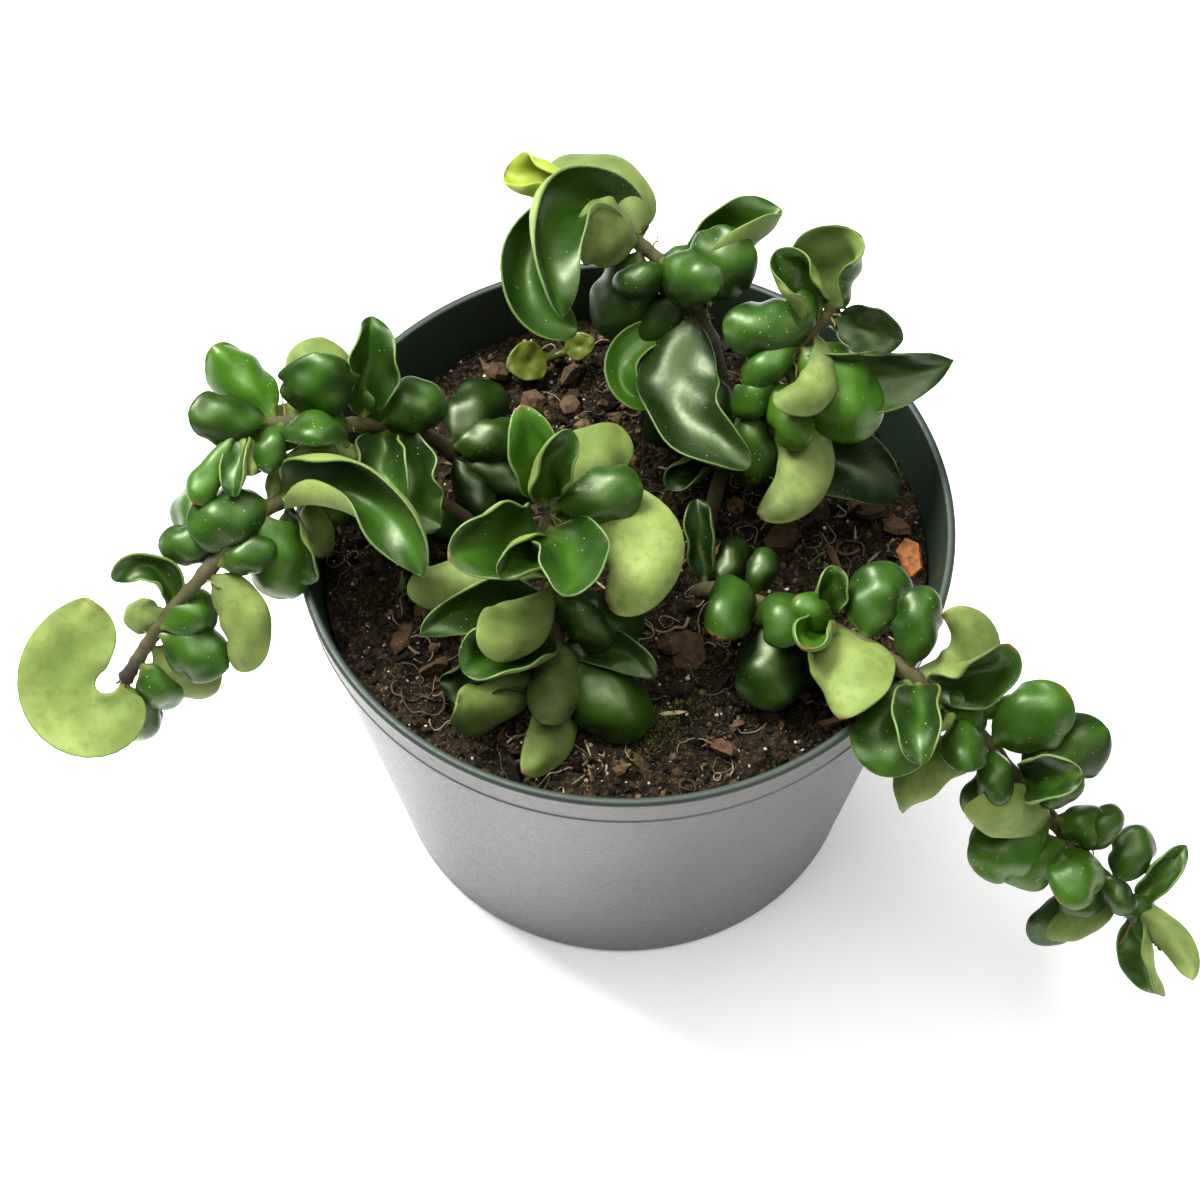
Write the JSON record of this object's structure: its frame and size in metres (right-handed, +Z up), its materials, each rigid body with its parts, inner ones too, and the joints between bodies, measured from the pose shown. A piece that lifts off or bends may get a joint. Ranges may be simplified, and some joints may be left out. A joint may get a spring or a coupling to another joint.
{
  "type": "potted hoya plant",
  "caption": "Trailing hoya with thick curled leaves, rooted in potting mix in a tapered nursery pot.",
  "frame": {"origin": "middle of the pot's underside, on the surface that the pot stands on", "axes": "+Z up; the longest stem trails towards +X and -Y, and the picture looks along +Y from above"},
  "size_m": [0.2876, 0.1837, 0.1816],
  "materials": {
    "pot": "moulded plastic, satin grey outside, dark green lip and inside",
    "soil": "loose bark and peat mix, matt",
    "foliage": "waxy leaves, glossy dark green above and matt pale green below"
  },
  "bodies": {
    "root": {"pot": "pot", "soil": "soil", "vine_left": "foliage", "vine_left_upper": "foliage", "vine_front": "foliage", "vine_right": "foliage", "vine_back_right": "foliage", "vine_back_left": "foliage", "sprout": "foliage"}
  },
  "joints": []
}
